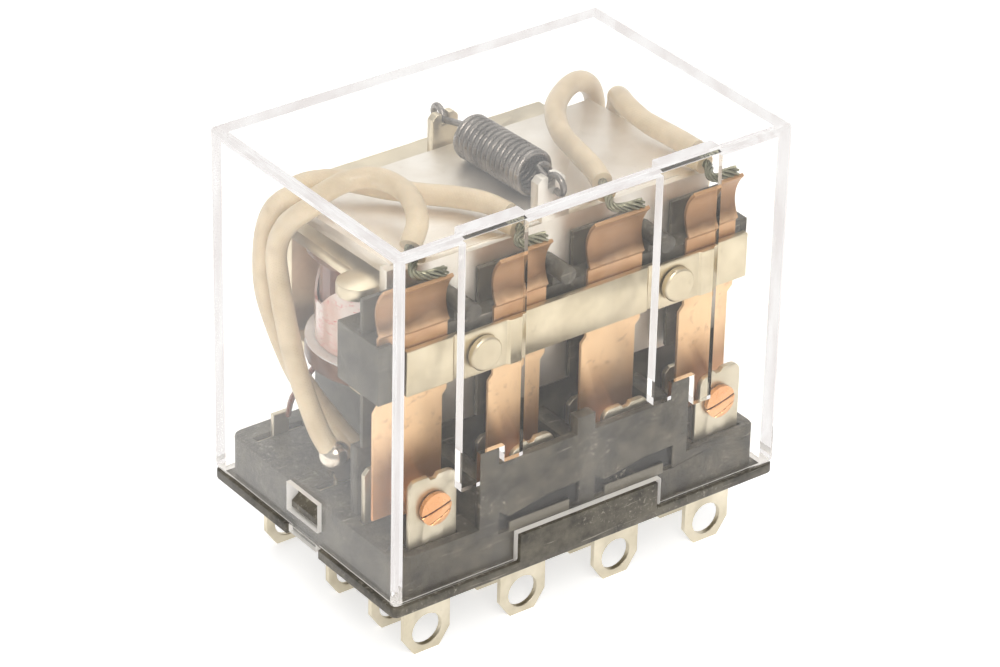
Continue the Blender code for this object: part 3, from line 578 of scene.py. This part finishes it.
def make_leads(materials):
    for index, route in LEAD_ROUTES.items():
        knots = [Vector(place) * MM for place in route]
        line = smooth_path(knots, POINTS_PER_SPAN)
        rng = random.Random(index)
        radii = [LEAD_RADIUS * (0.97 + 0.03 * math.sin(i * 0.31 + index) * rng.uniform(0.4, 1))
                 for i in range(len(line))]
        lead = tube(f"sleeved_lead_{index}", line, radii, materials["sleeve"], sides=24)
        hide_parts(f"flex_lead_{index}")
        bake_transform(lead)


def paint_nodes(materials):
    """Every CAD node takes the finish of its slot."""
    for name, obj in NODES.items():
        slot = obj.data.materials[0].name.split(".")[0]
        for start, finish in NODE_FINISH.items():
            if name.startswith(start):
                slot = finish
        obj.data.materials[0] = materials[slot]


def soften(obj, width):
    """Small rounded edges on a CAD piece, so that they catch the light."""
    weld = obj.modifiers.new("weld", "WELD")
    weld.merge_threshold = 1e-6
    bevel = obj.modifiers.new("edges", "BEVEL")
    bevel.width = width
    bevel.segments = 2
    bevel.limit_method = "ANGLE"
    bevel.angle_limit = math.radians(32)
    bevel.harden_normals = True
    obj.data.shade_smooth()


EDGE_WIDTHS = {
    ("terminal", "clamp", "pole_shoe", "yoke", "armature"): 0.07 * MM,
    ("moving_spring",): 0.05 * MM,
    ("base", "contact_carrier", "bobbin"): 0.09 * MM,
    ("bar_rivet", "contact_"): 0.06 * MM,
}


def soften_nodes():
    for name, obj in NODES.items():
        for starts, width in EDGE_WIDTHS.items():
            if name.startswith(starts):
                soften(obj, width)
                break


BAND_STEPS = 96


def ring_band(name, outline_at, rows, material):
    """A closed thin band: outline_at(share of the way round, row) gives (outer, inner)."""
    build = bmesh.new()
    loops = []
    for row in rows:
        outer, inner = [], []
        for k in range(BAND_STEPS):
            a, b = outline_at(k / BAND_STEPS, row)
            outer.append(build.verts.new(a))
            inner.append(build.verts.new(b))
        loops.append((outer, inner))
    for (o0, i0), (o1, i1) in zip(loops, loops[1:]):
        for k in range(BAND_STEPS):
            n = (k + 1) % BAND_STEPS
            build.faces.new((o0[k], o0[n], o1[n], o1[k]))
            build.faces.new((i0[n], i0[k], i1[k], i1[n]))
    (o0, i0), (o1, i1) = loops[0], loops[-1]
    for k in range(BAND_STEPS):
        n = (k + 1) % BAND_STEPS
        build.faces.new((i0[k], i0[n], o0[n], o0[k]))
        build.faces.new((o1[k], o1[n], i1[n], i1[k]))
    bmesh.ops.recalc_face_normals(build, faces=build.faces)
    mesh = bpy.data.meshes.new(name)
    build.to_mesh(mesh)
    build.free()
    return finish_mesh(name, mesh, material, smooth_angle=40)


def racetrack(share, straight, radius, centre_y):
    """A point on a long shape with round ends, at a share of its length, from the right end."""
    half_turn = math.pi * radius
    total = 2 * half_turn + 4 * straight
    run = (share * total) % total
    if run < half_turn:
        angle = -math.pi / 2 + run / radius
        return straight + radius * math.cos(angle), centre_y + radius * math.sin(angle)
    run -= half_turn
    if run < 2 * straight:
        return straight - run, centre_y + radius
    run -= 2 * straight
    if run < half_turn:
        angle = math.pi / 2 + run / radius
        return -straight + radius * math.cos(angle), centre_y + radius * math.sin(angle)
    return -straight + (run - half_turn), centre_y - radius


TAPE_THICKNESS = 0.22 * MM
TAPE_DROP = 4.6 * MM
WINDING_GAP = 0.3 * MM
REFLECTION_RING_THICKNESS = 0.16 * MM
REFLECTION_RING_LIFT = 0.02 * MM
REFLECTION_RING_OUT = 0.85 * MM
REFLECTION_RING_IN = 0.30 * MM


def make_coil_dress(materials):
    """The tape round the winding, lower at the left end, and under it a pale ring, a painted
    reflection on the top of the lower flange.
    """
    low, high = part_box("coil_tape")
    radius = (high.y - low.y) / 2
    straight = (high.x - low.x) / 2 - radius
    centre = (high.y + low.y) / 2
    rng = random.Random(5)
    wobble = [rng.uniform(-0.12, 0.12) * MM for _ in range(BAND_STEPS)]

    def tape_at(share, row):
        x, y = racetrack(share, straight, radius, centre)
        u, v = racetrack(share, straight, radius - TAPE_THICKNESS, centre)
        left = min(1.0, max(0.0, (-x - straight) / (radius * 0.8)))
        back = min(1.0, max(0.0, (y - centre + radius * 0.75) / (radius * 1.1)))
        drop = TAPE_DROP * left * back * back * (3 - 2 * back)
        top = high.z - drop + wobble[int(share * BAND_STEPS) % BAND_STEPS]
        z = low.z + (top - low.z) * row
        return (x, y, z), (u, v, z)

    wrap = ring_band("insulating_tape", tape_at, [0.0, 0.25, 0.5, 0.75, 1.0], materials["tape"])
    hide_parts("coil_tape")
    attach(wrap, "frame")
    seat = low.z - WINDING_GAP + REFLECTION_RING_LIFT

    # painted reflection ring, just above the lower flange
    def painted_reflection_ring_at(share, row):
        x, y = racetrack(share, straight, radius + REFLECTION_RING_OUT, centre)
        u, v = racetrack(share, straight, radius - REFLECTION_RING_IN, centre)
        return (x, y, seat + row), (u, v, seat + row)

    ring = ring_band("coil_painted_reflection_ring", painted_reflection_ring_at, [0.0, REFLECTION_RING_THICKNESS], materials["washer"])
    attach(ring, "frame")


SPRING_FRONT = Vector((0, -6.4, 30.9)) * MM
SPRING_REAR = Vector((0, 8.4, 30.3)) * MM
SPRING_RADIUS = 1.75 * MM
SPRING_WIRE_RADIUS = 0.29 * MM
SPRING_COILED = 9.6 * MM
SPRING_LEAD_IN = 1.5 * MM
SPRING_TURNS = 15
STEPS_PER_TURN = 24
EASE_FROM, EASE_STEPS = 8, 18
EYE_RADIUS = 0.85 * MM
EYE_STEPS = 18
EYE_SWEEP = math.radians(300)
EYE_SHIFT = 0.5 * MM


def eye(start, along, across, upward, way):
    """The open eye that ends a spring and hangs over its post."""
    points = []
    for i in range(1, EYE_STEPS + 1):
        angle = EYE_SWEEP * i / EYE_STEPS
        points.append(start + along * way * (EYE_RADIUS * (1 - math.cos(angle)))
                      + upward * (EYE_RADIUS * math.sin(angle))
                      + across * (EYE_SHIFT * i / EYE_STEPS))
    return points


def make_return_spring(materials):
    """Close coils between two hooks, as fine round wire."""
    front, rear = SPRING_FRONT, SPRING_REAR
    along = (rear - front).normalized()
    across = Vector((1, 0, 0))
    upward = across.cross(along)
    start = front + along * SPRING_LEAD_IN
    points = eye(front, along, across, upward, -1)[::-1] + [front]
    steps = SPRING_TURNS * STEPS_PER_TURN
    for i in range(steps + 1):
        angle = 2 * math.pi * i / STEPS_PER_TURN
        grow = min(1.0, (i + EASE_FROM) / EASE_STEPS, (steps - i + EASE_FROM) / EASE_STEPS)
        spoke = across * math.sin(angle) + upward * math.cos(angle)
        points.append(start + along * (SPRING_COILED * i / steps)
                      + spoke * (SPRING_RADIUS * grow))
    points += [rear] + eye(rear, along, across, upward, 1)
    coil = tube("tension_spring", points, SPRING_WIRE_RADIUS, materials["spring_steel"],
                sides=10)
    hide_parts("return_spring")
    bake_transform(coil)


STRAND_RADIUS = 0.13 * MM
STRAND_SPREAD = 0.27 * MM
STRAND_TWIST = 0.30
OUTER_STRANDS = 6


def make_strands(materials):
    """Bare twisted strands from each sleeve to the top of its tab."""
    for index, route in LEAD_ROUTES.items():
        x = POLE_X[index]
        end = Vector(route[-1]) * MM
        tab_low, tab_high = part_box(f"moving_spring_{index}")
        top = tab_high.z + 0.22 * MM
        front = tab_low.y + 0.25 * MM
        before = Vector(route[-2]) * MM
        out = (end - before).normalized()
        knots = [end - out * 0.6 * MM, end + out * 0.4 * MM,
                 Vector((x - 1.0 * MM, front + 0.9 * MM, top + 0.25 * MM)),
                 Vector((x - 0.2 * MM, front + 0.35 * MM, top + 0.1 * MM)),
                 Vector((x + 1.7 * MM, front + 0.3 * MM, top - 0.05 * MM))]
        line = smooth_path(knots, per_span=9)
        pairs = frames(line)
        strands = []
        for k in range(OUTER_STRANDS + 1):
            turn = 2 * math.pi * k / OUTER_STRANDS
            wide = 0.0 if k == OUTER_STRANDS else STRAND_SPREAD
            path = []
            for i, (point, (side, over)) in enumerate(zip(line, pairs)):
                angle = turn + i * STRAND_TWIST
                spread = wide * (1 + 0.9 * max(0.0, i / len(line) - 0.55))
                path.append(point + (side * math.cos(angle) + over * math.sin(angle)) * spread)
            strands.append(tube(f"strand_{index}_{k}", path, STRAND_RADIUS,
                                materials["strand"], sides=6))
        joined = join(f"stranded_end_{index}", strands)
        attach(joined, "armature")


def join(name, objects):
    """One object from several meshes of one material."""
    build = bmesh.new()
    for obj in objects:
        build.from_mesh(obj.data)
    mesh = bpy.data.meshes.new(name)
    build.to_mesh(mesh)
    build.free()
    material = objects[0].data.materials[0]
    for obj in objects:
        bpy.data.objects.remove(obj, do_unlink=True)
    return finish_mesh(name, mesh, material, smooth_angle=50)


BLOCK_TOP = 4.9 * MM
SOLDER_RADIUS = {1: 1.30 * MM, 2: 0.95 * MM, 3: 0.95 * MM, 4: 1.1 * MM}


def make_solder_joints(materials):
    """A lumpy solder joint between each lead's lower end and its terminal's stub."""
    for index, route in LEAD_ROUTES.items():
        low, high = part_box(f"terminal_com_{index}")
        stub = Vector(((low.x + high.x) / 2, (low.y + high.y) / 2, high.z))
        start = Vector(route[0]) * MM
        foot = Vector((stub.x, stub.y, BLOCK_TOP + 0.55 * MM))
        if start.z - stub.z > 0.5 * MM:
            knots = [start - Vector((0, 0, 0.1 * MM)), start.lerp(stub, 0.5), stub.lerp(foot, 0.6)]
        else:
            middle = start.lerp(stub, 0.55)
            knots = [start + Vector((0, -0.1 * MM, 0.5 * MM)), middle - Vector((0, 0, 0.7 * MM)),
                     foot + Vector((0, 0, 0.6 * MM)), foot]
        line = smooth_path(knots, POINTS_PER_SPAN)
        rng = random.Random(40 + index)
        phase = rng.uniform(0, 6)
        radii = []
        for i in range(len(line)):
            t = i / (len(line) - 1)
            wave = 0.92 + 0.14 * math.sin(t * 5 + phase) + 0.08 * t
            radii.append(wave * SOLDER_RADIUS[index])
        lump = tube(f"solder_joint_{index}", line, radii, materials["solder"], sides=20,
                    round_ends=4)
        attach(lump, "frame")


RIVET_STAND_OFF = 0.24 * MM
RIVET_RINGS = 36
RIVET_SIDES = 112
RIVET_RIM = 0.10
RIVET_CUT_DEPTH = 0.15
RIVET_SIDE_DEPTHS = (0.15, 0.31)


def rivet_depth(u, v, share):
    """How far the face lies back, in millimetres: a slight crown and the cuts."""
    depth = RIVET_RIM * share ** 4
    for tilt, offset, half in RIVET_CUTS:
        away = abs(-math.sin(tilt) * u + math.cos(tilt) * v - offset)
        depth += RIVET_CUT_DEPTH * max(0.0, 1 - away / (1.3 * half)) ** 0.4
    return depth


def make_rivet_heads(materials):
    """Copper faces with two straight cuts, just in front of the outer fixed contacts."""
    for index in POLES:
        low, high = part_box(f"contact_nc_{index}")
        centre = Vector(((low.x + high.x) / 2, low.y, (low.z + high.z) / 2))
        radius = (high.x - low.x) / 2
        build = bmesh.new()
        grid = []
        profile = [((i + 1) / RIVET_RINGS, 0.0) for i in range(RIVET_RINGS)]
        profile += [(1.0, deep) for deep in RIVET_SIDE_DEPTHS]
        middle = build.verts.new(centre)
        for share, deep in profile:
            row = []
            for k in range(RIVET_SIDES):
                angle = 2 * math.pi * k / RIVET_SIDES
                u, v = math.cos(angle) * share, math.sin(angle) * share
                depth = (RIVET_RIM if deep else rivet_depth(u, v, share)) * MM + deep * MM
                row.append(build.verts.new(centre + Vector((u * radius, depth, v * radius))))
            grid.append(row)
        for k in range(RIVET_SIDES):
            n = (k + 1) % RIVET_SIDES
            build.faces.new((middle, grid[0][k], grid[0][n]))
            for a, b in zip(grid, grid[1:]):
                build.faces.new((a[k], b[k], b[n], a[n]))
        build.faces.new(grid[-1][::-1])
        bmesh.ops.recalc_face_normals(build, faces=build.faces)
        mesh = bpy.data.meshes.new(f"rivet_face_{index}")
        build.to_mesh(mesh)
        build.free()
        head = finish_mesh(f"rivet_face_{index}", mesh, materials["rivet_copper"],
                           smooth_angle=45)
        head.location.y -= RIVET_STAND_OFF
        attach(head, "frame")


# --------------------------------------------------------------------- stage

def area_light(name, place, target, size, power, colour=(1, 1, 1)):
    data = bpy.data.lights.new(name, "AREA")
    data.shape = "RECTANGLE"
    data.size, data.size_y = size
    data.energy = power
    data.color = colour
    light = link(bpy.data.objects.new(name, data))
    light.location = place
    light.rotation_euler = (Vector(target) - Vector(place)).to_track_quat("-Z", "Y").to_euler()


BRIGHT_SKY = Vector((0.52, 0.69, 0.50))
FLOOR_HALF = 3.0


def make_floor():
    floor_shader = Shader("floor")
    floor_shader.set(Base_Color=(0.80, 0.80, 0.80, 1.0), Roughness=0.8,
                     Emission_Color=(1.0, 1.0, 1.0, 1.0), Emission_Strength=0.62)
    mesh = bpy.data.meshes.new("floor")
    build = bmesh.new()
    bmesh.ops.create_grid(build, x_segments=4, y_segments=4, size=FLOOR_HALF)
    bmesh.ops.translate(build, vec=(0, 0, FLOOR_Z), verts=build.verts)
    build.to_mesh(mesh)
    build.free()
    finish_mesh("floor", mesh, floor_shader.material)


def make_world():
    """A soft sky, brighter on the side that the metal faces reflect."""
    world = bpy.data.worlds.new("studio")
    world.use_nodes = True
    tree = world.node_tree
    where = tree.nodes.new("ShaderNodeTexCoord")
    facing = tree.nodes.new("ShaderNodeVectorMath")
    facing.operation = "DOT_PRODUCT"
    facing.inputs[1].default_value = BRIGHT_SKY
    ramp = tree.nodes.new("ShaderNodeValToRGB")
    ramp.color_ramp.elements[0].position = 0.35
    ramp.color_ramp.elements[0].color = (0.46, 0.46, 0.46, 1.0)
    ramp.color_ramp.elements[1].position = 0.92
    ramp.color_ramp.elements[1].color = (1.0, 1.0, 1.0, 1.0)
    tree.links.new(where.outputs["Generated"], facing.inputs[0])
    tree.links.new(facing.outputs["Value"], ramp.inputs["Fac"])
    tree.links.new(ramp.outputs["Color"], tree.nodes["Background"].inputs["Color"])
    bpy.context.scene.world = world


def make_stage():
    make_floor()
    make_world()
    area_light("key", (-0.25, -0.45, 0.55), (0, 0, 0.015), (0.35, 0.35), 2.2, (1.0, 0.98, 0.95))
    area_light("top", (0.1, 0.1, 0.6), (0, 0, 0.015), (0.5, 0.5), 0.9)
    bpy.context.scene.view_settings.view_transform = "Standard"


# ---------------------------------------------------------------------- main

make_camera()
MATERIALS = make_materials()
paint_nodes(MATERIALS)
soften_nodes()
make_leads(MATERIALS)
make_strands(MATERIALS)
make_solder_joints(MATERIALS)
make_rivet_heads(MATERIALS)
make_coil_dress(MATERIALS)
make_return_spring(MATERIALS)
make_stage()
